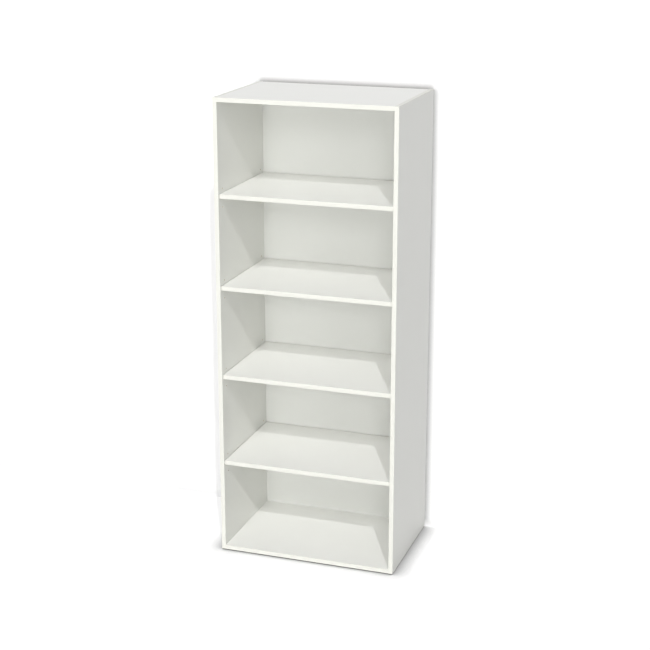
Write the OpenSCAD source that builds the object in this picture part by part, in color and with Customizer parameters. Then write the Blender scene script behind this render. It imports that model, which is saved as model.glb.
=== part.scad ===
// Bookcase with four adjustable shelves, built from laminated boards.
// The front faces -Y and +Z is up. The origin is on the floor, under the middle of the carcass.
// Sides stand full height, with the top and bottom panels held between them by cams and dowels.

/* [Carcass] */
// Width across the two side panels
unit_w = 640; // [480:1:900]
// Depth of the side panels, front edging included
unit_d = 425; // [340:1:600]
// Height of the side panels, top edging included
side_h = 1625; // [1440:1:2000]
// Thickness of the boards
board_t = 15; // [15:1:22]
// Thickness of the edging strips
edging_t = 1; // [0.6:0.1:2]
// Radius along the outer corners of the edging strips
edging_r = 0.4; // [0.1:0.1:0.5]

/* [Back panel] */
// Thickness of the hardboard back
back_t = 3; // [2.5:0.1:6]
// Distance from the rear face of the back to the rear edges of the sides
back_inset = 5; // [4:0.5:20]
// Depth of the grooves that hold the back in the sides
groove_depth = 7; // [4:0.5:8]
// Nails along the top edge of the back, and as many along its bottom edge
back_nail_count = 5; // [3:1:9]
// Diameter of a back nail
back_nail_d = 1.4; // [1:0.1:2]
// Length of a back nail under its head
back_nail_l = 18; // [12:1:25]
// Diameter of a back nail's head
back_nail_head_d = 3.2; // [2.4:0.1:5]
// Thickness of a back nail's head
back_nail_head_t = 0.6; // [0.4:0.1:1]

/* [Shelves] */
// Pitch of the shelf pin holes
hole_pitch = 32; // [28:1:34]
// Hole pitches from one shelf to the next
shelf_steps = 10; // [7:1:10]
// Spare holes above each shelf's own pins, and as many below
spare_holes = 1; // [1:1:3]
// Distance from the front edges of the sides to the front edges of the shelves
shelf_setback = 7; // [0:0.5:20]
// Gap between each end of a shelf and the side panel
shelf_end_gap = 1; // [0.5:0.1:2]
// Gap between a shelf and the back panel
shelf_back_gap = 3; // [3:0.5:10]

/* [Shelf pins] */
// Diameter of the pin holes
pin_hole_d = 5; // [4:0.5:7]
// Depth of the pin holes
pin_hole_depth = 10; // [9:0.5:12]
// Length of a pin's shank inside the side panel
pin_shank_l = 8; // [6:0.5:8.5]
// Distance from the front and rear edges of the sides to the pin holes
pin_inset = 37; // [25:1:80]
// Diameter of a pin's collar
collar_d = 8; // [7.5:0.5:10]
// Thickness of a pin's collar
collar_t = 1.2; // [0.8:0.1:2]
// Length of a pin's blade, from the side panel to its rounded tip
blade_l = 11; // [9:0.5:16]
// Width of a pin's blade
blade_w = 7; // [5:0.5:10]
// Thickness of a pin's blade
blade_t = 2; // [1.5:0.1:2.5]
// Length of the rib under a pin's blade
rib_l = 6; // [4:0.5:7]

/* [Cam fittings] */
// Diameter of the pockets for the cams
cam_pocket_d = 15; // [15:0.5:20]
// Distance from the end of a top or bottom panel to the cams' axes
cam_setback = 24; // [20:1:34]
// Distance from the front and rear edges of a top or bottom panel to the cams' axes
cam_inset = 60; // [45:1:100]
// Floor of a cam between the bolt's ball and the cam's closed end
cam_floor = 1.1; // [0.8:0.1:1.5]
// Distance of a cam's open face below the board's surface
cam_sink = 0.2; // [0:0.1:0.5]
// How far the spiral lets the ball travel out as the cam is turned back
cam_pull = 2; // [1:0.1:2.5]
// Diameter of a bolt's ball
ball_d = 6.8; // [6:0.1:7]
// Diameter of a bolt's neck
neck_d = 3.8; // [3:0.1:4.2]
// Diameter of a bolt's shank
shank_d = 6; // [5:0.1:7]
// Diameter of the bore for the shank in the panel's end
shank_bore_d = 8; // [8:0.5:10]
// Diameter of a bolt's collar against the side panel
bolt_collar_d = 7.4; // [6.5:0.1:7.6]
// Thickness of a bolt's collar
bolt_collar_t = 1.5; // [1:0.1:3]
// Diameter of the threaded end in the side panel
bolt_thread_d = 5; // [4:0.5:6]
// Length of the threaded end in the side panel
bolt_thread_l = 11; // [8:0.5:12]
// Width of a cam's cross recess
cam_recess_w = 6.6; // [4:0.1:8]
// Blade thickness that a cam's cross recess takes
cam_recess_t = 1.3; // [0.8:0.1:1.6]

/* [Dowels] */
// Diameter of the dowels and their bores
dowel_d = 8; // [6:1:8]
// Length of a dowel inside the side panel
dowel_in_side = 10; // [8:0.5:12]
// Length of a dowel inside the top or bottom panel
dowel_in_deck = 20; // [15:1:30]
// Distance from a cam to the dowel beside it
dowel_offset = 32; // [20:1:35]
// Number of flutes round a dowel
dowel_flutes = 12; // [6:1:16]
// Radius of a flute
flute_r = 0.35; // [0.2:0.05:0.5]

/* [Glides] */
// Height of the glides under the sides
glide_h = 3; // [2.5:0.5:8]
// Diameter of the glides
glide_d = 14; // [11:0.5:15]
// Diameter of a glide's nail
glide_nail_d = 1.8; // [1.4:0.1:2.5]
// Length of a glide's nail above its head
glide_nail_l = 15; // [10:1:25]
// Diameter of the head of a glide's nail
glide_nail_head_d = 4.6; // [4:0.1:6]
// Thickness of the head of a glide's nail
glide_nail_head_t = 0.8; // [0.5:0.1:1]

/* [Wall brackets] */
// Distance between the two wall brackets
bracket_span = 400; // [200:1:420]
// Width of a wall bracket
bracket_w = 18; // [14:1:30]
// Steel thickness of a wall bracket
bracket_t = 2; // [1.5:0.1:2.5]
// Length of the leg under the top panel
bracket_leg_top = 38; // [34:1:60]
// Length of the leg down the back panel
bracket_leg_back = 30; // [24:1:60]
// Outer radius of the bend
bracket_bend_r = 3; // [3:0.5:6]
// Diameter of the hole for the wall screw
wall_hole_d = 5.5; // [4:0.5:8]
// Diameter of the hole in the back panel behind a wall bracket
wall_pass_d = 9; // [9:0.5:12]
// Distance between the two wood screws of a bracket
bracket_screw_gap = 14; // [10:1:16]
// Diameter of a wood screw
wood_screw_d = 3.5; // [2.5:0.1:4]
// Length of a wood screw inside the top panel
wood_screw_l = 11; // [8:0.5:12]
// Diameter of a wood screw's head
wood_screw_head_d = 7; // [6:0.1:9]
// Height of a wood screw's head
wood_screw_head_h = 2; // [1.5:0.1:3]

/* [Clearances] */
// Radial play of a pin's shank in its hole
pin_play = 0.05; // [0.02:0.01:0.1]
// Radial play of a cam in its pocket
cam_play = 0.05; // [0.02:0.01:0.1]
// Play between a bolt's ball or neck and the cam
ball_play = 0.08; // [0.05:0.01:0.2]
// Radial play of dowels, nails and screws in their bores
fixing_play = 0.03; // [0.01:0.01:0.1]
// Radial play of the wood screws in the holes of the wall brackets
bracket_hole_play = 0.25; // [0.1:0.05:0.5]
// Play on each face of the back panel in its grooves
groove_play = 0.1; // [0.05:0.05:0.3]
// Play between the end of the back panel and the bottom of its groove
groove_end_play = 1; // [0.5:0.5:2]
// Depth left free below the tip of anything pushed into a bore
bore_end_play = 0.5; // [0.2:0.1:1]

/* [Hidden] */
$fn = 48;
over = 1; // how far a cutting shape runs past the surface that it cuts
white = [0.93, 0.93, 0.90];
back_white = [0.88, 0.88, 0.85];
steel = [0.70, 0.71, 0.72];
zinc = [0.62, 0.63, 0.65];
beech = [0.80, 0.66, 0.46];
grey_plastic = [0.80, 0.80, 0.78];

SIDES = ["left", "right"];
ROWS = ["front", "rear"];
DECKS = ["bottom", "top"];
LEVELS = [1, 2, 3, 4];

// Carcass planes
front_y = -unit_d / 2;
rear_y = unit_d / 2;
base_z = glide_h;
top_z = base_z + side_h;
inner_w = unit_w - 2 * board_t;
deck_ceiling_z = top_z - board_t;
back_front_y = rear_y - back_inset - back_t;
back_rear_y = back_front_y + back_t;
deck_d = back_front_y - front_y;
back_w = inner_w + 2 * (groove_depth - groove_end_play);

// Shelves: the middle of the set is the middle of the sides
shelf_pitch = shelf_steps * hole_pitch;
middle_z = base_z + side_h / 2;
middle_level = (LEVELS[0] + LEVELS[len(LEVELS) - 1]) / 2;
shelf_w = inner_w - 2 * shelf_end_gap;
shelf_front_y = front_y + shelf_setback;
shelf_rear_y = back_front_y - shelf_back_gap;

// Pins carry the shelves on the flat tops of their blades, level with the top of the hole
pin_r = pin_hole_d / 2 - pin_play;
pin_chamfer = 0.5;
blade_top = pin_hole_d / 2;

// Cam fittings: the bolt runs in the middle of the board's thickness
ball_r = ball_d / 2;
ball_room_r = ball_r + ball_play;
neck_room = neck_d / 2 + ball_play;
cam_r = cam_pocket_d / 2 - cam_play;
cam_face_z = -board_t / 2 + cam_sink;
cam_top_z = ball_room_r + cam_floor;
cam_pocket_top_z = cam_top_z + bore_end_play;
cam_recess_floor = 1.3;
cam_recess_depth = -ball_room_r - cam_recess_floor - cam_face_z;
ridge_r = sqrt(ball_r * ball_r - neck_room * neck_room) + ball_play;
cam_spiral_step = 10;
cam_chamfer = 0.5;
thread_chamfer = 1;
ball_flat_x = -0.75 * ball_r;

// Points of nails and screws: their length, and the blunt end as a share of the shank
nail_point_l = 2.5;
screw_point_l = 3;
point_share = 0.25;

// Wall brackets, measured from the corner between the top panel and the back panel
bracket_screw_y = [-bracket_leg_top + bracket_w / 2, -bracket_leg_top + bracket_w / 2 + bracket_screw_gap];
wall_hole_z = -bracket_leg_back + bracket_w / 2;

function side_sign(side) = side == "left" ? -1 : 1;
function deck_middle_z(deck) = deck == "top" ? top_z - board_t / 2 : base_z + board_t / 2;
function cam_y(row) = row == "front" ? front_y + cam_inset : back_front_y - cam_inset;
function dowel_y(row) = cam_y(row) + (row == "front" ? -dowel_offset : dowel_offset);
function pin_y(row) = row == "front" ? front_y + pin_inset : rear_y - pin_inset;
function glide_y(row) = (cam_y(row) + dowel_y(row)) / 2;
function shelf_z(n) = middle_z + (n - middle_level) * shelf_pitch - board_t / 2;
function pin_z(n) = shelf_z(n) - blade_top;
function nail_x(i) = (i / (back_nail_count - 1) - 0.5) * (inner_w - 2 * cam_setback - 2 * cam_pocket_d);

// ---- Placing -------------------------------------------------------------------------------

// A frame at a joint between a deck and a side: +X points into the side panel
module facing_side(side, x, y, z) {
    translate([side_sign(side) * x, y, z])
        rotate([0, 0, side == "left" ? 180 : 0])
            children();
}

module at_cam(deck, row, side) {
    facing_side(side, inner_w / 2 - cam_setback, cam_y(row), deck_middle_z(deck)) children();
}

module at_dowel(deck, row, side) {
    facing_side(side, inner_w / 2, dowel_y(row), deck_middle_z(deck)) children();
}

// A frame on a side panel's inner face at a pin hole: +X points out of the panel
module at_pin(row, side, z) {
    translate([side_sign(side) * inner_w / 2, pin_y(row), z])
        rotate([0, 0, side == "left" ? 0 : 180])
            children();
}

// A glide sits midway between a cam bolt and a dowel, so that its nail meets neither
module at_glide(row, side) {
    translate([side_sign(side) * (unit_w - board_t) / 2, glide_y(row), 0]) children();
}

module at_bracket(end) {
    translate([end * bracket_span / 2, back_front_y, deck_ceiling_z]) children();
}

module at_back_nail(deck, i) {
    translate([nail_x(i), back_rear_y, deck_middle_z(deck)]) children();
}

// ---- Shared shapes -------------------------------------------------------------------------

// A round bar along X
module bar(d, from, to) {
    translate([from, 0, 0])
        rotate([0, 90, 0])
            cylinder(d = d, h = to - from);
}

// A cone along X
module taper(d_from, d_to, from, to) {
    translate([from, 0, 0])
        rotate([0, 90, 0])
            cylinder(d1 = d_from, d2 = d_to, h = to - from);
}

// A turned shape along X, from a profile to the right of the Y axis
module turned() {
    rotate([0, 90, 0])
        rotate_extrude()
            children();
}

// A board as a block between two corners
module board(low, high) {
    translate(low)
        cube(high - low);
}

// Section of an edging strip: glued along its far side, rounded on its two outer corners
module strip_section() {
    translate([-board_t / 2 + edging_r, 0])
        square([board_t - 2 * edging_r, edging_t]);
    translate([-board_t / 2, edging_r])
        square([board_t, edging_t - edging_r]);
    for (x = [-1, 1])
        translate([x * (board_t / 2 - edging_r), edging_r])
            circle(r = edging_r);
}

// An edging strip along +Z, with its outer face towards -Y
module strip(length) {
    linear_extrude(height = length)
        strip_section();
}

// The same strip along X, centred, on the front of a level board whose middle is at z
module level_strip(length, y, z) {
    color(white)
        translate([-length / 2, y, z])
            rotate([0, 90, 0])
                strip(length);
}

// A round shank along +Z with a point at its end
module pointed_shank(d, length, point_l) {
    cylinder(d = d, h = length - point_l);
    translate([0, 0, length - point_l])
        cylinder(d1 = d, d2 = d * point_share, h = point_l);
}

// Two crossed slots for a screwdriver, cut upwards into a face that looks down
module cross_recess(width, thickness, depth) {
    for (turn = [0, 90])
        rotate([0, 0, turn])
            translate([-width / 2, -thickness / 2, -over])
                cube([width, thickness, depth + over]);
}

// ---- Bores and cuts ------------------------------------------------------------------------

module cam_bores(deck) {
    for (row = ROWS, side = SIDES)
        at_cam(deck, row, side) {
            translate([0, 0, -board_t / 2 - over])
                cylinder(d = cam_pocket_d, h = board_t / 2 + over + cam_pocket_top_z);
            bar(shank_bore_d, 0, cam_setback + over);
        }
}

module dowel_bores(deck) {
    for (row = ROWS, side = SIDES)
        at_dowel(deck, row, side)
            bar(dowel_d, -dowel_in_deck - bore_end_play, over);
}

module back_nail_bores(deck, length) {
    for (i = [0 : back_nail_count - 1])
        at_back_nail(deck, i)
            rotate([90, 0, 0])
                translate([0, 0, -over])
                    cylinder(d = back_nail_d + 2 * fixing_play, h = length + over);
}

module pin_bores(side) {
    for (n = LEVELS, row = ROWS, step = [-spare_holes : spare_holes])
        at_pin(row, side, pin_z(n) + step * hole_pitch)
            bar(pin_hole_d, -pin_hole_depth, over);
}

module side_joint_bores(side) {
    for (deck = DECKS, row = ROWS) {
        at_cam(deck, row, side)
            bar(bolt_thread_d, cam_setback - over, cam_setback + bolt_thread_l + bore_end_play);
        at_dowel(deck, row, side)
            bar(dowel_d, -over, dowel_in_side + bore_end_play);
    }
}

module glide_nail_bores(side) {
    for (row = ROWS)
        at_glide(row, side)
            cylinder(d = glide_nail_d + 2 * fixing_play, h = glide_h + glide_nail_l + bore_end_play);
}

module back_groove(side) {
    translate([side_sign(side) * inner_w / 2, back_front_y - groove_play, base_z - over])
        translate([side == "left" ? -groove_depth : -over, 0, 0])
            cube([groove_depth + over, back_t + 2 * groove_play, side_h + 2 * over]);
}

// ---- Boards --------------------------------------------------------------------------------

module side_panel(side) {
    color(white)
        difference() {
            translate([side_sign(side) * (unit_w - board_t) / 2, 0, 0])
                board([-board_t / 2, front_y + edging_t, base_z], [board_t / 2, rear_y, top_z - edging_t]);
            back_groove(side);
            pin_bores(side);
            side_joint_bores(side);
            glide_nail_bores(side);
        }
}

// A strip up the whole front edge of a side
module side_front_edging(side) {
    color(white)
        translate([side_sign(side) * (unit_w - board_t) / 2, front_y, base_z])
            strip(side_h);
}

// A strip along the top end of a side, behind the front strip, with the groove run through it
module side_top_edging(side) {
    color(white)
        difference() {
            translate([side_sign(side) * (unit_w - board_t) / 2, front_y + edging_t, top_z])
                rotate([-90, 0, 0])
                    strip(unit_d - edging_t);
            back_groove(side);
        }
}

// A top or bottom panel: its cams open downwards, its rear edge carries the back panel
module deck_board(deck) {
    difference() {
        translate([0, 0, deck_middle_z(deck)])
            board([-inner_w / 2, front_y + edging_t, -board_t / 2], [inner_w / 2, back_front_y, board_t / 2]);
        cam_bores(deck);
        dowel_bores(deck);
        back_nail_bores(deck, back_nail_l + bore_end_play);
    }
}

module top_panel() {
    color(white)
        difference() {
            deck_board("top");
            for (end = [-1, 1], y = bracket_screw_y)
                at_bracket(end)
                    translate([0, y, -over])
                        cylinder(d = wood_screw_d + 2 * fixing_play, h = wood_screw_l + bore_end_play + over);
        }
}

module bottom_panel() {
    color(white)
        deck_board("bottom");
}

module deck_edging(deck) {
    level_strip(inner_w, front_y, deck_middle_z(deck));
}

module back_panel() {
    color(back_white)
        difference() {
            board([-back_w / 2, back_front_y, base_z], [back_w / 2, back_rear_y, top_z - edging_t]);
            for (deck = DECKS)
                back_nail_bores(deck, back_t + over);
            for (end = [-1, 1])
                at_bracket(end)
                    translate([0, back_t + over, wall_hole_z])
                        rotate([90, 0, 0])
                            cylinder(d = wall_pass_d, h = back_t + 2 * over);
        }
}

module shelf(n) {
    color(white)
        translate([0, 0, shelf_z(n)])
            board([-shelf_w / 2, shelf_front_y + edging_t, 0], [shelf_w / 2, shelf_rear_y, board_t]);
}

module shelf_edging(n) {
    level_strip(shelf_w, shelf_front_y, shelf_z(n) + board_t / 2);
}

// ---- Shelf pins ----------------------------------------------------------------------------

// Plan of the blade: straight out of the collar, with a round tip
module blade_plan() {
    translate([0, -blade_w / 2])
        square([blade_l - blade_w / 2, blade_w]);
    translate([blade_l - blade_w / 2, 0])
        circle(d = blade_w);
}

// Profile of a pin's shank, which goes on under the blade as a rib with a round tip
module shank_profile() {
    polygon([
        [0, -pin_shank_l],
        [pin_r - pin_chamfer, -pin_shank_l],
        [pin_r, -pin_shank_l + pin_chamfer],
        [pin_r, rib_l - pin_r],
        [0, rib_l - pin_r]
    ]);
    translate([0, rib_l - pin_r])
        intersection() {
            circle(r = pin_r);
            square(pin_r);
        }
}

// A steel spoon pin, along X, with its shank in the panel behind X = 0
module shelf_pin() {
    color(steel) {
        turned()
            shank_profile();
        difference() {
            bar(collar_d, 0, collar_t);
            translate([-over, -collar_d / 2, blade_top])
                cube([collar_t + 2 * over, collar_d, collar_d]);
        }
        translate([0, 0, blade_top - blade_t])
            linear_extrude(height = blade_t)
                blade_plan();
    }
}

// ---- Cam fittings --------------------------------------------------------------------------

// The race inside the cam: its radius grows with the angle, so turning the cam back lets the ball out
module cam_race_plan() {
    polygon([for (a = [0 : cam_spiral_step : 180])
        (ridge_r + cam_pull * a / 180) * [cos(a), sin(a)]]);
}

// Profile of the ball's seat, with the channel on its far side that lets the ball in
module ball_seat_profile() {
    intersection() {
        circle(r = ball_room_r);
        square(ball_room_r);
    }
    translate([0, -cam_r - over])
        square([ball_room_r, cam_r + over]);
}

// Room for the bolt's neck through half a turn
module neck_slot_plan() {
    reach = cam_r + over;
    intersection() {
        circle(r = reach);
        translate([-reach, 0])
            square([2 * reach, reach]);
    }
    translate([0, -neck_room])
        square([reach, 2 * neck_room]);
}

// Turned outside of a cam, with a chamfer at each end
module cam_blank() {
    rotate_extrude()
        polygon([
            [0, cam_face_z],
            [cam_r - cam_chamfer, cam_face_z],
            [cam_r, cam_face_z + cam_chamfer],
            [cam_r, cam_top_z - cam_chamfer],
            [cam_r - cam_chamfer, cam_top_z],
            [0, cam_top_z]
        ]);
}

// A cast cam in its locked position. The bolt comes in along X with its ball on the cam's axis.
module cam() {
    color(zinc)
        difference() {
            cam_blank();
            turned()
                ball_seat_profile();
            translate([0, 0, -ball_room_r])
                linear_extrude(height = 2 * ball_room_r)
                    cam_race_plan();
            translate([0, 0, -neck_room])
                linear_extrude(height = 2 * neck_room)
                    neck_slot_plan();
            translate([0, 0, cam_face_z])
                cross_recess(cam_recess_w, cam_recess_t, cam_recess_depth);
            translate([cam_r - cam_chamfer, 0, cam_face_z - over])
                cylinder(r = cam_recess_t, h = over + cam_chamfer, $fn = 3);
        }
}

// Profile of a bolt, turned round the Y axis: ball with a flat, neck, shoulder, shank, collar and thread
module cam_bolt_profile() {
    neck_end = cam_r + 2 * cam_play;
    shoulder = neck_end + (shank_d - neck_d) / 2;
    thread_r = bolt_thread_d / 2 - fixing_play;
    thread_end = cam_setback + bolt_thread_l;
    intersection() {
        circle(r = ball_r);
        translate([0, ball_flat_x])
            square([ball_r, ball_r - ball_flat_x]);
    }
    polygon([
        [0, 0],
        [neck_d / 2, 0],
        [neck_d / 2, neck_end],
        [shank_d / 2, shoulder],
        [shank_d / 2, cam_setback - bolt_collar_t],
        [bolt_collar_d / 2, cam_setback - bolt_collar_t],
        [bolt_collar_d / 2, cam_setback],
        [thread_r, cam_setback],
        [thread_r, thread_end - thread_chamfer],
        [thread_r - thread_chamfer, thread_end],
        [0, thread_end]
    ]);
}

// The bolt that the cam pulls on, in the same frame
module cam_bolt() {
    color(steel)
        turned()
            cam_bolt_profile();
}

module cam_bolts() {
    for (deck = DECKS, row = ROWS, side = SIDES)
        at_cam(deck, row, side)
            cam_bolt();
}

// ---- Dowels, nails and glides --------------------------------------------------------------

// A fluted beech dowel along X, across the joint at X = 0
module dowel() {
    r = dowel_d / 2 - fixing_play;
    chamfer = 1;
    difference() {
        union() {
            taper(2 * (r - chamfer), 2 * r, -dowel_in_deck, -dowel_in_deck + chamfer);
            bar(2 * r, -dowel_in_deck + chamfer, dowel_in_side - chamfer);
            taper(2 * r, 2 * (r - chamfer), dowel_in_side - chamfer, dowel_in_side);
        }
        for (i = [0 : dowel_flutes - 1])
            rotate([i * 360 / dowel_flutes, 0, 0])
                translate([0, 0, r])
                    bar(2 * flute_r, -dowel_in_deck - over, dowel_in_side + over);
    }
}

module dowels() {
    color(beech)
        for (deck = DECKS, row = ROWS, side = SIDES)
            at_dowel(deck, row, side)
                dowel();
}

module back_nails() {
    color(steel)
        for (deck = DECKS, i = [0 : back_nail_count - 1])
            at_back_nail(deck, i)
                rotate([90, 0, 0]) {
                    translate([0, 0, -back_nail_head_t])
                        cylinder(d = back_nail_head_d, h = back_nail_head_t);
                    pointed_shank(back_nail_d, back_nail_l, nail_point_l);
                }
}

// A plastic disc with a rounded foot, nailed up into the end of the side panel
module glide() {
    foot_r = 1;
    difference() {
        rotate_extrude() {
            square([glide_d / 2 - foot_r, glide_h]);
            translate([0, foot_r])
                square([glide_d / 2, glide_h - foot_r]);
            translate([glide_d / 2 - foot_r, foot_r])
                circle(r = foot_r);
        }
        translate([0, 0, -over])
            cylinder(d = glide_nail_head_d + 2 * fixing_play, h = over + 2 * glide_nail_head_t);
        cylinder(d = glide_nail_d + 2 * fixing_play, h = glide_h + over);
    }
}

module glides() {
    color(grey_plastic)
        for (row = ROWS, side = SIDES)
            at_glide(row, side)
                glide();
}

// Their heads are sunk into the glides by the thickness of a head
module glide_nails() {
    color(steel)
        for (row = ROWS, side = SIDES)
            at_glide(row, side)
                translate([0, 0, glide_nail_head_t]) {
                    cylinder(d = glide_nail_head_d, h = glide_nail_head_t);
                    pointed_shank(glide_nail_d, glide_h - glide_nail_head_t + glide_nail_l, nail_point_l);
                }
}

// ---- Wall brackets -------------------------------------------------------------------------

// Plan of one leg: square at the bend, round at the free end
module leg_plan(length) {
    translate([-bracket_w / 2, bracket_bend_r])
        square([bracket_w, length - bracket_bend_r - bracket_w / 2]);
    translate([0, length - bracket_w / 2])
        circle(d = bracket_w);
}

// A bent steel angle with its corner against the top panel and the back panel
module wall_bracket() {
    difference() {
        union() {
            translate([0, 0, -bracket_t])
                linear_extrude(height = bracket_t)
                    mirror([0, 1])
                        leg_plan(bracket_leg_top);
            rotate([90, 0, 0])
                linear_extrude(height = bracket_t)
                    mirror([0, 1])
                        leg_plan(bracket_leg_back);
            translate([0, -bracket_bend_r, -bracket_bend_r])
                rotate([0, 90, 0])
                    linear_extrude(height = bracket_w, center = true)
                        intersection() {
                            difference() {
                                circle(r = bracket_bend_r);
                                circle(r = bracket_bend_r - bracket_t);
                            }
                            translate([-bracket_bend_r, 0])
                                square(bracket_bend_r);
                        }
        }
        for (y = bracket_screw_y)
            translate([0, y, -bracket_t - over])
                cylinder(d = wood_screw_d + 2 * bracket_hole_play, h = bracket_t + 2 * over);
        translate([0, over, wall_hole_z])
            rotate([90, 0, 0])
                cylinder(d = wall_hole_d, h = bracket_t + 2 * over);
    }
}

module wall_brackets() {
    color(steel)
        for (end = [-1, 1])
            at_bracket(end)
                wall_bracket();
}

// A pan-head wood screw that points up, with its head under Z = 0
module wood_screw() {
    rim = 0.8;
    recess_share = 0.6;
    difference() {
        rotate_extrude()
            polygon(concat(
                [[0, 0], [wood_screw_head_d / 2, 0]],
                [for (a = [0 : 15 : 90])
                    [wood_screw_head_d / 2 * cos(a), -rim - (wood_screw_head_h - rim) * sin(a)]]
            ));
        translate([0, 0, -wood_screw_head_h])
            cross_recess(recess_share * wood_screw_head_d, rim, recess_share * wood_screw_head_h);
    }
    pointed_shank(wood_screw_d, bracket_t + wood_screw_l, screw_point_l);
}

module bracket_screws() {
    color(steel)
        for (end = [-1, 1], y = bracket_screw_y)
            at_bracket(end)
                translate([0, y, -bracket_t])
                    wood_screw();
}

// ---- Nodes ---------------------------------------------------------------------------------

for (side = SIDES) {
    side_panel(side);
    side_front_edging(side);
    side_top_edging(side);
}
top_panel();
deck_edging("top");  // top_panel_edging
bottom_panel();
deck_edging("bottom");  // bottom_panel_edging
back_panel();
for (n = LEVELS) {
    shelf(n);
    shelf_edging(n);
}
for (n = LEVELS, row = ROWS, side = SIDES)
    at_pin(row, side, pin_z(n)) shelf_pin();
for (deck = DECKS, row = ROWS, side = SIDES)
    at_cam(deck, row, side) cam();
cam_bolts();
dowels();
back_nails();
glides();
glide_nails();
wall_brackets();
bracket_screws();
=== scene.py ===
import math

import bpy
import mathutils
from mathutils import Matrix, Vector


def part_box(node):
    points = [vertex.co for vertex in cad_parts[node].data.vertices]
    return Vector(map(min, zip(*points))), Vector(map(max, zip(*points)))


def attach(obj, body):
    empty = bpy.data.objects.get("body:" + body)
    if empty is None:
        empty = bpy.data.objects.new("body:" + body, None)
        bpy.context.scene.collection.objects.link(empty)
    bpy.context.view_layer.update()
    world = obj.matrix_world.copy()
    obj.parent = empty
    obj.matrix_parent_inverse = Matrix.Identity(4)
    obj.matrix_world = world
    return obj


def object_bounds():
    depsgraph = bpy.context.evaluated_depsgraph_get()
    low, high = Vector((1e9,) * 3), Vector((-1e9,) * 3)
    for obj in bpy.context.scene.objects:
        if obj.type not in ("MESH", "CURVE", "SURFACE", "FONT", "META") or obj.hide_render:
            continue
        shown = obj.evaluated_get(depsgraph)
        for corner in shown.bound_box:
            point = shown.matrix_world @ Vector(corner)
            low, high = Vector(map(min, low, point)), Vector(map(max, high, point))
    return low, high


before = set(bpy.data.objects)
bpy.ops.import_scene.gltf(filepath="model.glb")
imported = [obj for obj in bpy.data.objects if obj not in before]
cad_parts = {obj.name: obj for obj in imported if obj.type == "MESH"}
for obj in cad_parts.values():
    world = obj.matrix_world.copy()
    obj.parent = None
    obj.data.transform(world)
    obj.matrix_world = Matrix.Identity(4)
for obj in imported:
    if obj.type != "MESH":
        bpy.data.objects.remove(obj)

cad_box = [list(corner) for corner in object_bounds()]


# ---- Laminated boards -----------------------------------------------------------------------
# The sides, the top, the bottom and the shelves are particleboard with white melamine paper
# pressed on both faces. They are sawn to size and bored, so the raw chips show at the rear and
# lower ends and inside the bores, between the two thin white lines of the paper.

UPRIGHT_BOARDS = ["side_left", "side_right"]
# Painted shade: the upright sides get a darker white than the level boards, standing in for the
# lesser light on their faces.
UPRIGHT_PAINTED_SHADE_WHITE = (0.778, 0.782, 0.745, 1.0)
LEVEL_BOARDS = ["top_panel", "bottom_panel", "shelf_1", "shelf_2", "shelf_3", "shelf_4"]
# Painted light: the top, the bottom and the shelves get a lighter white, standing in for the light
# on their upward faces.
LEVEL_PAINTED_LIGHT_WHITE = (0.945, 0.946, 0.915, 1.0)
PAPER_THICKNESS = 0.00025
PAPER_ROUGHNESS = 0.36
CHIP_ROUGHNESS = 0.81
PEARL_SCALE = 900.0
CLOUD_SCALE = 3.0
CHIP_SCALE = 620.0
CHIP_STRETCH = (1.0, 0.45, 1.0)
CHIP_RELIEF = 0.00025
DUST_SCALE = 2600.0
CHIP_TONES = [
    (0.0, (0.17, 0.105, 0.055, 1.0)),
    (0.3, (0.38, 0.26, 0.14, 1.0)),
    (0.65, (0.52, 0.38, 0.22, 1.0)),
    (1.0, (0.66, 0.52, 0.33, 1.0)),
]


class Wire:
    """The output of a node. Sums written on wires add Math nodes."""

    def __init__(self, tree, socket):
        self.tree = tree
        self.socket = socket

    def output(self, name):
        return Wire(self.tree, self.socket.node.outputs[name])

    def maths(self, operation, *values):
        return self.tree.add("ShaderNodeMath", {"operation": operation}, dict(enumerate(values)))

    def __add__(self, other):
        return self.maths("ADD", self, other)

    def __sub__(self, other):
        return self.maths("SUBTRACT", self, other)

    def __rsub__(self, other):
        return self.maths("SUBTRACT", other, self)

    def __mul__(self, other):
        return self.maths("MULTIPLY", self, other)

    def __truediv__(self, other):
        return self.maths("DIVIDE", self, other)

    def __lt__(self, other):
        return self.maths("LESS_THAN", self, other)

    def __gt__(self, other):
        return self.maths("GREATER_THAN", self, other)

    def __abs__(self):
        return self.maths("ABSOLUTE", self)

    def at_most(self, limit):
        return self.maths("MINIMUM", self, limit)

    def sine(self):
        return self.maths("SINE", self)

    def cosine(self):
        return self.maths("COSINE", self)

    __radd__ = __add__


class Nodes:
    """A node tree that is filled one node at a time."""

    def __init__(self, tree):
        self.tree = tree
        tree.nodes.clear()

    def add(self, kind, settings=None, sockets=None, out=0):
        """Adds a node: its settings first, then a value or a wire for each socket."""
        node = self.tree.nodes.new(kind)
        for name, value in (settings or {}).items():
            if name == "stops":
                for element, (position, colour) in zip(node.color_ramp.elements, value):
                    element.position = position
                    element.color = colour
                for position, colour in value[2:]:
                    node.color_ramp.elements.new(position).color = colour
            else:
                setattr(node, name, value)
        for name, value in (sockets or {}).items():
            if isinstance(value, Wire):
                self.tree.links.new(value.socket, node.inputs[name])
            else:
                node.inputs[name].default_value = value
        return Wire(self, node.outputs[out]) if len(node.outputs) else None


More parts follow.
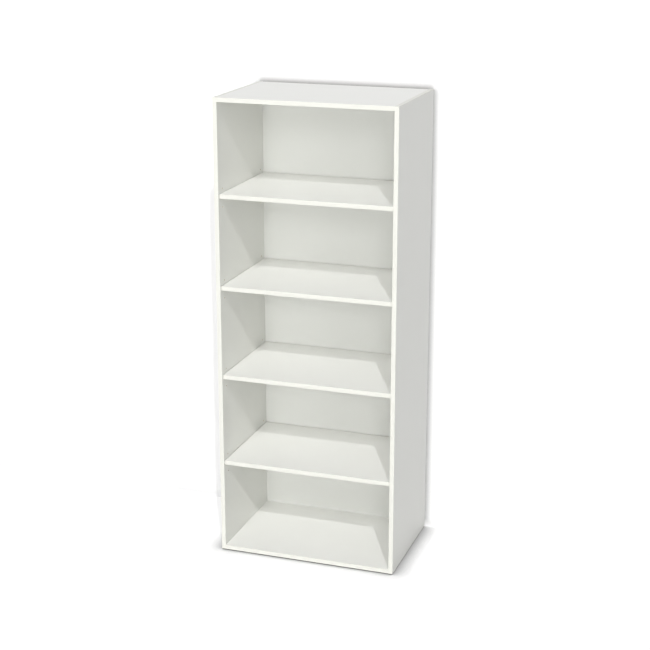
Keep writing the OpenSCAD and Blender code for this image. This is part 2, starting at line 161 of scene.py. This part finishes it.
class Finish(Nodes):
    """A material with one Principled shader at its end."""

    def __init__(self, name):
        self.material = bpy.data.materials.new(name)
        self.material.use_nodes = True
        super().__init__(self.material.node_tree)
        self.place = self.add("ShaderNodeTexCoord", out="Object")

    def axes(self):
        split = self.add("ShaderNodeSeparateXYZ", sockets={0: self.place})
        return [split.output(name) for name in "XYZ"]

    def stretched(self, scale):
        return self.add("ShaderNodeMapping", sockets={"Vector": self.place, "Scale": scale})

    def noise(self, scale, detail, roughness=0.5, place=None):
        return self.add(
            "ShaderNodeTexNoise",
            sockets={
                "Vector": place or self.place,
                "Scale": scale,
                "Detail": detail,
                "Roughness": roughness,
            },
        )

    def cells(self, scale, place=None, out="Color"):
        return self.add(
            "ShaderNodeTexVoronoi",
            sockets={"Vector": place or self.place, "Scale": scale},
            out=out,
        )

    def ramp(self, factor, *stops):
        return self.add("ShaderNodeValToRGB", {"stops": stops}, {0: factor})

    def blended(self, factor, first, second, how="MIX"):
        return self.add(
            "ShaderNodeMix",
            {"data_type": "RGBA", "blend_type": how},
            {0: factor, 6: first, 7: second},
            out=2,
        )

    def tinted(self, colour, noise, amount):
        """A colour, made a little lighter and darker by a noise round 0.5."""
        level = 1 + (noise - 0.5) * (2 * amount)
        grey = self.add("ShaderNodeCombineXYZ", sockets={0: level, 1: level, 2: level})
        return self.blended(1.0, colour, grey, "MULTIPLY")

    def bump(self, height, distance, strength=1.0):
        return self.add(
            "ShaderNodeBump",
            sockets={"Height": height, "Distance": distance, "Strength": strength},
        )

    def shade(self, **sockets):
        """Ends the material. Names are socket names with _ for a space."""
        named = {name.replace("_", " "): value for name, value in sockets.items()}
        shader = self.add("ShaderNodeBsdfPrincipled", sockets=named)
        self.add("ShaderNodeOutputMaterial", sockets={0: shader})
        return self.material


def dress(nodes, material):
    """Puts a material on every slot of some CAD nodes."""
    for name in nodes:
        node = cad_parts[name]
        node.data.materials.clear()
        node.data.materials.append(material)


def board_material(name, across, white):
    """Melamine on the two faces square to an axis, and particleboard between them."""
    low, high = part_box(name)
    finish = Finish("board_" + name)
    half, middle = (high[across] - low[across]) / 2, (high[across] + low[across]) / 2
    depth = half - abs(finish.axes()[across] - middle)
    raw = depth > PAPER_THICKNESS
    pearl = finish.noise(PEARL_SCALE, 2.0, 0.6)
    cloud = finish.noise(CLOUD_SCALE, 3.0)
    # white is the group's white: painted light on the level boards, painted shade on the sides.
    paper = finish.tinted(white, pearl, 0.010)
    paper = finish.tinted(paper, cloud, 0.012)
    chip = finish.cells(CHIP_SCALE, finish.stretched(CHIP_STRETCH))
    shade = finish.add("ShaderNodeSeparateColor", sockets={0: chip})
    dust = finish.noise(DUST_SCALE, 3.0, 0.7)
    chips = finish.tinted(finish.ramp(shade, *CHIP_TONES), dust, 0.25)
    relief = pearl * (1 - raw) * 0.02 + (shade + dust) * raw
    dress(
        [name],
        finish.shade(
            Base_Color=finish.blended(raw, paper, chips),
            Roughness=PAPER_ROUGHNESS
            + (cloud - 0.5) * 0.12
            + raw * (CHIP_ROUGHNESS - PAPER_ROUGHNESS),
            Normal=finish.bump(relief, CHIP_RELIEF, 0.6),
        ),
    )


# The sides take the darker white with painted shade, and the level boards the lighter white with
# painted light.
for name in UPRIGHT_BOARDS:
    board_material(name, 0, UPRIGHT_PAINTED_SHADE_WHITE)
for name in LEVEL_BOARDS:
    board_material(name, 2, LEVEL_PAINTED_LIGHT_WHITE)


# ---- Edging ---------------------------------------------------------------------------------
# A white plastic strip, 1 mm thick, closes the front edge of every board and the top ends of the
# sides. It is glued on hot and trimmed flush, which leaves a hairline of glue along its inner side
# and faint marks along its length.

EDGING = (0.812, 0.812, 0.752, 1.0)
EDGING_ROUGHNESS = 0.33
GLUE = (0.46, 0.44, 0.38, 1.0)
GLUE_LINE = 0.00012
TRIM_SCALE = 90.0
TRIM_STRETCH = 16.0
TRIM_RELIEF = 0.00002
GRAIN_SCALE = 1400.0


def edging_material(name, out, outward):
    """out is the axis that the strip's outer face looks along, and outward its sign."""
    low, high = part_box(name)
    glued = low[out] if outward > 0 else high[out]
    finish = Finish("edging_" + name)
    glue = abs(finish.axes()[out] - glued) < GLUE_LINE
    run = [TRIM_STRETCH] * 3
    run[max(range(3), key=lambda axis: high[axis] - low[axis])] = 1.0
    drawn = finish.noise(TRIM_SCALE, 3.0, 0.6, finish.stretched(tuple(run)))
    grain = finish.noise(GRAIN_SCALE, 2.0)
    colour = finish.tinted(finish.tinted(EDGING, drawn, 0.008), grain, 0.006)
    dress(
        [name],
        finish.shade(
            Base_Color=finish.blended(glue, colour, GLUE),
            Roughness=EDGING_ROUGHNESS + (drawn - 0.5) * 0.14,
            Normal=finish.bump(drawn + grain * 0.5, TRIM_RELIEF),
        ),
    )


EDGED_FRONTS = ["side_left_front", "side_right_front", "top_panel", "bottom_panel",
                "shelf_1", "shelf_2", "shelf_3", "shelf_4"]
for name in EDGED_FRONTS:
    edging_material(name + "_edging", 1, -1)
for name in ["side_left_top_edging", "side_right_top_edging"]:
    edging_material(name, 2, 1)


# ---- Back panel -----------------------------------------------------------------------------
# A 3 mm hardboard sheet with white foil on its front. Its rear keeps the bare brown fibre, with
# the fine mesh that the press screen leaves in it. It slides into the grooves of the sides and is
# nailed to the rear edges of the top and the bottom.

FOIL = (0.868, 0.876, 0.842, 1.0)
FIBRE_DARK = (0.185, 0.105, 0.055, 1.0)
FIBRE_LIGHT = (0.36, 0.235, 0.135, 1.0)
FIBRE_ROUGHNESS = 0.80
FOIL_ROUGHNESS = 0.44
FOIL_THICKNESS = 0.0002
FOIL_GRAIN_SCALE = 1000.0
FOIL_CLOUD_SCALE = 2.5
SCREEN_PITCH = 0.0016
PULP_SCALE = 55.0
FIBRE_SCALE = 700.0
FIBRE_RELIEF = 0.00012

low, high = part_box("back_panel")
finish = Finish("hardboard")
x, y, z = finish.axes()
front = y < low[1] + FOIL_THICKNESS
per_wire = math.tau / SCREEN_PITCH
screen = (x * per_wire).sine() + (z * per_wire).sine()
pulp = finish.noise(PULP_SCALE, 5.0, 0.65)
fibres = finish.noise(FIBRE_SCALE, 3.0, 0.7)
foil_grain = finish.noise(FOIL_GRAIN_SCALE, 2.0)
foil_cloud = finish.noise(FOIL_CLOUD_SCALE, 3.0)
foil = finish.tinted(finish.tinted(FOIL, foil_grain, 0.008), foil_cloud, 0.012)
fibre = finish.ramp(pulp * 0.6 + fibres * 0.4, (0.3, FIBRE_DARK), (0.72, FIBRE_LIGHT))
relief = (1 - front) * (screen * 0.5 + fibres) + front * foil_grain * 0.05
dress(
    ["back_panel"],
    finish.shade(
        Base_Color=finish.blended(front, fibre, foil),
        Roughness=FIBRE_ROUGHNESS
        - front * (FIBRE_ROUGHNESS - FOIL_ROUGHNESS)
        + (pulp - 0.5) * 0.1,
        Normal=finish.bump(relief, FIBRE_RELIEF, 0.7),
    ),
)


# ---- Shelf pins, bolts, nails and brackets --------------------------------------------------
# Small steel fittings with bright zinc plating: spoon pins under the shelves, ball bolts for the
# cams, nails for the back and the glides, and two bent angles with pan-head wood screws that
# tie the unit to the wall. Plating leaves a fine grey bloom over the drawing marks.

STEEL_NODES = ["cam_bolts", "back_nails", "glide_nails", "wall_brackets", "bracket_screws"] + [
    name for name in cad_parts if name.startswith("pin_")
]

ZINC_DULL = (0.60, 0.615, 0.63, 1.0)
ZINC_BRIGHT = (0.76, 0.765, 0.77, 1.0)
ZINC_ROUGHNESS = 0.30
BLOOM_SCALE = 160.0
MARK_SCALE = 500.0
MARK_STRETCH = (0.08, 1.0, 1.0)
MARK_RELIEF = 0.00003

finish = Finish("plated_steel")
bloom = finish.noise(BLOOM_SCALE, 4.0, 0.6)
marks = finish.noise(MARK_SCALE, 3.0, 0.7, finish.stretched(MARK_STRETCH))
colour = finish.ramp(bloom, (0.3, ZINC_DULL), (0.7, ZINC_BRIGHT))
plated_steel = finish.shade(
    Base_Color=finish.tinted(colour, marks, 0.05),
    Metallic=1.0,
    Roughness=ZINC_ROUGHNESS + (bloom - 0.5) * 0.22 + (marks - 0.5) * 0.10,
    Normal=finish.bump(marks + bloom * 0.4, MARK_RELIEF, 0.6),
)
dress(STEEL_NODES, plated_steel)


# ---- Screw threads --------------------------------------------------------------------------
# The bolts and the wood screws are cut with a single coarse thread that bites into the board. The
# ridge stands out from the plain shank, fades at both ends and follows the taper of the point.

TIP_SHARE = 0.25
RUN_OUT_TURNS = 0.5
RUN_OUT_LEAST = 0.02
SCREW_HEAD_RADIUS = 0.0035
BOLT_THREAD = {
    "Length": 0.0105,
    "Core radius": 0.00247,
    "Point length": 0.001,
    "Pitch": 0.0018,
    "Ridge height": 0.0005,
    "Ridge width": 0.0008,
    "Steps per turn": 24,
}
SCREW_THREAD = {
    "Length": 0.0100,
    "Core radius": 0.00175,
    "Point length": 0.003,
    "Pitch": 0.0014,
    "Ridge height": 0.00035,
    "Ridge width": 0.0006,
    "Steps per turn": 24,
}


class Recipe(Nodes):
    """A Geometry Nodes tree with named inputs, the first of them the geometry it starts from."""

    def __init__(self, name, start, sizes):
        super().__init__(bpy.data.node_groups.new(name, "GeometryNodeTree"))
        self.keys = {}
        for label, kind in {start: "Geometry", **sizes, "Finish": "Material"}.items():
            socket = self.tree.interface.new_socket(
                label, in_out="INPUT", socket_type="NodeSocket" + kind
            )
            self.keys[label] = socket.identifier
        self.tree.interface.new_socket(
            "Pieces", in_out="OUTPUT", socket_type="NodeSocketGeometry"
        )
        self.given = self.add("NodeGroupInput").output

    def end(self, geometry):
        """Instances become plain faces with the finish on them."""
        real = self.add("GeometryNodeRealizeInstances", sockets={0: geometry})
        dressed = self.add(
            "GeometryNodeSetMaterial", sockets={0: real, "Material": self.given("Finish")}
        )
        self.add("NodeGroupOutput", sockets={0: dressed})


def grown(recipe, name, places, sizes):
    """A piece made by a recipe at some places, each a point and the way that it faces."""
    mesh = bpy.data.meshes.new(name)
    mesh.from_pydata([point for point, way in places], [], [])
    ways = mesh.attributes.new("way", "FLOAT_VECTOR", "POINT")
    ways.data.foreach_set("vector", [part for point, way in places for part in way])
    piece = bpy.data.objects.new(name, mesh)
    bpy.context.scene.collection.objects.link(piece)
    modifier = piece.modifiers.new(name, "NODES")
    modifier.node_group = recipe.tree
    for label, value in sizes.items():
        modifier[recipe.keys[label]] = value
    evaluated = piece.evaluated_get(bpy.context.evaluated_depsgraph_get())
    made = bpy.data.meshes.new_from_object(evaluated)
    while made.materials[0] is None:
        made.materials.pop(index=0)
    piece.modifiers.remove(modifier)
    piece.data = made
    return piece


ridge = Recipe(
    "thread_ridge",
    "Places",
    {
        "Length": "Float",
        "Core radius": "Float",
        "Point length": "Float",
        "Pitch": "Float",
        "Ridge height": "Float",
        "Ridge width": "Float",
        "Steps per turn": "Int",
    },
)
length = ridge.given("Length")
pitch = ridge.given("Pitch")
steps = ridge.given("Steps per turn")
along = ridge.add("GeometryNodeInputIndex") * pitch / steps
to_tip = length - along
taper = (to_tip / ridge.given("Point length")).at_most(1) * (1 - TIP_SHARE) + TIP_SHARE
radius = ridge.given("Core radius") * taper
turn = along / pitch * math.tau
spiral = ridge.add(
    "GeometryNodeSetPosition",
    sockets={
        "Geometry": ridge.add(
            "GeometryNodeMeshLine", sockets={"Count": length / pitch * steps + 1}
        ),
        "Position": ridge.add(
            "ShaderNodeCombineXYZ",
            sockets={0: radius * turn.cosine(), 1: radius * turn.sine(), 2: along},
        ),
    },
)
path = ridge.add("GeometryNodeMeshToCurve", sockets={"Mesh": spiral})
path = ridge.add("GeometryNodeSetCurveNormal", {"mode": "Z_UP"}, {"Curve": path})
run_out = (along / pitch).at_most(to_tip / pitch).at_most(RUN_OUT_TURNS)
fade = run_out * (1 / RUN_OUT_TURNS) + RUN_OUT_LEAST
path = ridge.add("GeometryNodeSetCurveRadius", sockets={"Curve": path, "Radius": fade})
half_width = ridge.given("Ridge width") / 2
section = ridge.add(
    "GeometryNodeCurvePrimitiveQuadrilateral",
    {"mode": "KITE"},
    {
        "Width": ridge.given("Ridge height") * 2,
        "Bottom Height": half_width,
        "Top Height": half_width,
    },
)
swept = ridge.add(
    "GeometryNodeCurveToMesh", sockets={"Curve": path, "Profile Curve": section, "Fill Caps": True}
)
facing = ridge.add(
    "GeometryNodeInputNamedAttribute", {"data_type": "FLOAT_VECTOR"}, {"Name": "way"}
)
turned = ridge.add("FunctionNodeAlignRotationToVector", {"axis": "Z"}, {"Vector": facing})
ridge.end(
    ridge.add(
        "GeometryNodeInstanceOnPoints",
        sockets={"Points": ridge.given("Places"), "Instance": swept, "Rotation": turned},
    )
)

bolt_places = []
for side, outward in (("left", -1), ("right", 1)):
    inner_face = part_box("side_" + side)[1 if outward < 0 else 0][0]
    for deck in ("bottom", "top"):
        deck_low, deck_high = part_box(deck + "_panel")
        for row in ("front", "rear"):
            cam_low, cam_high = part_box("_".join(("cam", deck, row, side)))
            along_side = (cam_low[1] + cam_high[1]) / 2
            level = (deck_low[2] + deck_high[2]) / 2
            bolt_places.append(((inner_face, along_side, level), (outward, 0, 0)))

low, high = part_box("bracket_screws")
head = SCREW_HEAD_RADIUS
screw_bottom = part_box("top_panel")[0][2]
screw_places = [
    ((x, y, screw_bottom), (0, 0, 1))
    for x in (low[0] + head, high[0] - head)
    for y in (low[1] + head, high[1] - head)
]

for name, places, sizes in (
    ("cam_bolt_threads", bolt_places, BOLT_THREAD),
    ("bracket_screw_threads", screw_places, SCREW_THREAD),
):
    piece = grown(ridge, name, places, {**sizes, "Finish": plated_steel})
    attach(piece, "carcass")


# ---- Cams -----------------------------------------------------------------------------------
# Eight cast zinc cams in blind pockets, turned with a screwdriver from below. The casting skin is
# dull, finely pitted and mottled in darker and lighter grey.

CAST_DARK = (0.40, 0.405, 0.41, 1.0)
CAST_LIGHT = (0.58, 0.585, 0.59, 1.0)
CAST_ROUGHNESS = 0.48
SKIN_SCALE = 900.0
PIT_SCALE = 1500.0
PIT_RELIEF = 0.00006

finish = Finish("cast_zinc")
skin = finish.noise(SKIN_SCALE, 4.0, 0.65)
pits = finish.cells(PIT_SCALE, out="Distance")
colour = finish.ramp(skin, (0.3, CAST_DARK), (0.75, CAST_LIGHT))
dress(
    [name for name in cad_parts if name.startswith("cam_") and name != "cam_bolts"],
    finish.shade(
        Base_Color=colour,
        Metallic=1.0,
        Roughness=CAST_ROUGHNESS + (skin - 0.5) * 0.2,
        Normal=finish.bump(skin + pits * 0.6, PIT_RELIEF, 0.8),
    ),
)


# ---- Dowels ---------------------------------------------------------------------------------
# Fluted beech dowels, glued across the joints beside the cams. The grain runs along them, with
# the short darker flecks of beech.

BEECH_DARK = (0.50, 0.33, 0.18, 1.0)
BEECH_LIGHT = (0.72, 0.54, 0.34, 1.0)
BEECH_ROUGHNESS = 0.62
BEECH_GRAIN_SCALE = 420.0
BEECH_GRAIN_STRETCH = (0.06, 1.0, 1.0)
FLECK_SCALE = 700.0
FLECK_STRETCH = (0.35, 1.0, 1.0)
GRAIN_RELIEF = 0.00006

finish = Finish("beech")
grain = finish.noise(BEECH_GRAIN_SCALE, 4.0, 0.6, finish.stretched(BEECH_GRAIN_STRETCH))
flecks = finish.cells(FLECK_SCALE, finish.stretched(FLECK_STRETCH), out="Distance")
colour = finish.ramp(grain, (0.25, BEECH_DARK), (0.75, BEECH_LIGHT))
dress(
    ["dowels"],
    finish.shade(
        Base_Color=finish.tinted(colour, flecks, 0.12),
        Roughness=BEECH_ROUGHNESS + (grain - 0.5) * 0.15,
        Normal=finish.bump(grain + flecks * 0.3, GRAIN_RELIEF, 0.7),
    ),
)


# ---- Glides ---------------------------------------------------------------------------------
# Round plastic discs near the four corners, with a fine moulded grain, nailed up into the
# lower ends of the sides. They lift the boards clear of a wet floor.

PLASTIC = (0.70, 0.70, 0.68, 1.0)
PLASTIC_ROUGHNESS = 0.48
MOULD_GRAIN_SCALE = 1200.0
MOULD_RELIEF = 0.00004
SCUFF_SCALE = 180.0

finish = Finish("glide_plastic")
moulded = finish.noise(MOULD_GRAIN_SCALE, 3.0, 0.6)
scuffs = finish.noise(SCUFF_SCALE, 4.0, 0.6)
dress(
    ["glides"],
    finish.shade(
        Base_Color=finish.tinted(PLASTIC, scuffs, 0.04),
        Roughness=PLASTIC_ROUGHNESS + (scuffs - 0.5) * 0.2,
        Normal=finish.bump(moulded, MOULD_RELIEF, 0.7),
    ),
)


# ---- Floor, wall and light ------------------------------------------------------------------
# The bookcase stands on a plain white floor, against a plain white wall. Both show pure white but
# for the lamps' soft shadows and a painted shade near the unit, and the wall is clear from behind
# and gives no light back.
# The lamps are broad and soft, but for a small high key from the front right.

BLACK = (0.0, 0.0, 0.0, 1.0)
STAGE_WHITE = (0.92, 0.92, 0.92, 1.0)
STAGE_BOUNCE = (0.78, 0.78, 0.78, 1.0)
STUDIO_WHITE = (1.0, 1.0, 1.0, 1.0)
WALL_GAP = 0.001
STAGE_REACH = 30.0
FLOOR_GLOW = 0.36
FLOOR_SHADE_REACH = 0.075
FLOOR_SHADE_DEPTH = 1.4
WALL_GLOW = 0.09
WALL_SHADE_REACH = 0.032
WALL_SHADE_DEPTH = 1.08
SHADE_SAMPLES = 16
SKY = 0.31
MIDDLE = (0.0, 0.0, 0.8155)


def seen(nodes):
    """1 for rays from the camera, from mirrors and through glass, and 0 for the rest."""
    path = nodes.add("ShaderNodeLightPath", out="Is Camera Ray")
    glossy = path.output("Is Glossy Ray")
    through = path.output("Is Transmission Ray")
    return path.maths("MAXIMUM", path, path.maths("MAXIMUM", glossy, through))


def stage_plane(name, corners, glow, shade_reach, shade_depth, one_sided):
    """A white plane with painted shade that darkens it softly where the unit is near, and may be
    clear from behind.
    """
    mesh = bpy.data.meshes.new(name)
    mesh.from_pydata(corners, [], [range(4)])
    plane = bpy.data.objects.new(name, mesh)
    bpy.context.scene.collection.objects.link(plane)
    finish = Finish(name + "_white")
    shown = seen(finish)
    openness = finish.add(
        "ShaderNodeAmbientOcclusion",
        {"samples": SHADE_SAMPLES},
        {"Distance": shade_reach},
        out="AO",
    )
    # Painted shade: the occlusion term darkens what the camera sees of the plane close to the
    # unit.
    shade = 1 - shown * (1 - openness.maths("POWER", openness, shade_depth))
    if one_sided:
        above_floor = finish.axes()[2] / shade_reach
        shade = 1 - (1 - shade) * above_floor.at_most(1)
    white = finish.blended(shown, STAGE_BOUNCE, STAGE_WHITE)
    matt = finish.add(
        "ShaderNodeBsdfDiffuse", sockets={"Color": finish.blended(shade, BLACK, white)}
    )
    glow = finish.add("ShaderNodeEmission", sockets={"Strength": shown * shade * glow})
    surface = finish.add("ShaderNodeAddShader", sockets={0: matt, 1: glow})
    if one_sided:
        behind = finish.add("ShaderNodeNewGeometry", out="Backfacing")
        clear = finish.add("ShaderNodeBsdfTransparent")
        surface = finish.add("ShaderNodeMixShader", sockets={0: behind, 1: surface, 2: clear})
    finish.add("ShaderNodeOutputMaterial", sockets={0: surface})
    mesh.materials.append(finish.material)
    return plane


far = STAGE_REACH
stage_plane(
    "floor",
    [(-far, -far, 0), (far, -far, 0), (far, far, 0), (-far, far, 0)],
    FLOOR_GLOW,
    FLOOR_SHADE_REACH,
    FLOOR_SHADE_DEPTH,
    False,
)
rear = cad_box[1][1] + WALL_GAP
wall = stage_plane(
    "wall",
    [(-far, rear, 0), (far, rear, 0), (far, rear, far), (-far, rear, far)],
    WALL_GLOW,
    WALL_SHADE_REACH,
    WALL_SHADE_DEPTH,
    True,
)
wall.visible_diffuse = False
wall.visible_glossy = False
wall.visible_transmission = False
wall.visible_shadow = False

world = bpy.data.worlds.new("studio")
bpy.context.scene.world = world
world.use_nodes = True
sky = Nodes(world.node_tree)
even = sky.add("ShaderNodeBackground", sockets={"Color": STUDIO_WHITE, "Strength": SKY})
white = sky.add("ShaderNodeBackground", sockets={"Color": STUDIO_WHITE, "Strength": 1.0})
mixed = sky.add("ShaderNodeMixShader", sockets={0: seen(sky), 1: even, 2: white})
sky.add("ShaderNodeOutputWorld", sockets={0: mixed})


def lamp(name, turn, rise, energy, spread):
    """A far lamp, turned from the front to the right and raised, all in degrees."""
    data = bpy.data.lights.new(name, "SUN")
    data.energy = energy
    data.angle = math.radians(spread)
    light = bpy.data.objects.new(name, data)
    light.rotation_euler = (math.radians(90 - rise), 0, math.radians(turn))
    light.location = MIDDLE
    bpy.context.scene.collection.objects.link(light)


lamp("key", 25.6, 42, 0.95, 0.8)
lamp("high_soft", 0, 38, 0.97, 12)
lamp("middle_soft", 20, 20, 0.38, 12)
lamp("level_soft", 0, 0, 0.54, 12)
lamp("side_soft", 45, 0, 0.35, 12)
lamp("rear_soft", 245, 12, 0.32, 40)


# ---- Camera ---------------------------------------------------------------------------------
# It looks down on the open front from the right, from 2.3 m above the floor.

TURN = math.radians(18.87)
RISE = math.radians(16.96)
AWAY = 5.151
LENS = 81.23
SENSOR_WIDTH = 36.0
SIGHT_LIMIT = 100.0

data = bpy.data.cameras.new("camera")
data.lens = LENS
data.sensor_width = SENSOR_WIDTH
data.clip_end = SIGHT_LIMIT
camera = bpy.data.objects.new("camera", data)
back = mathutils.Vector(
    (math.sin(TURN) * math.cos(RISE), -math.cos(TURN) * math.cos(RISE), math.sin(RISE))
)
camera.location = mathutils.Vector(MIDDLE) + back * AWAY
camera.rotation_euler = (-back).to_track_quat("-Z", "Y").to_euler()
bpy.context.scene.collection.objects.link(camera)
bpy.context.scene.camera = camera
bpy.context.scene.view_settings.view_transform = "Standard"
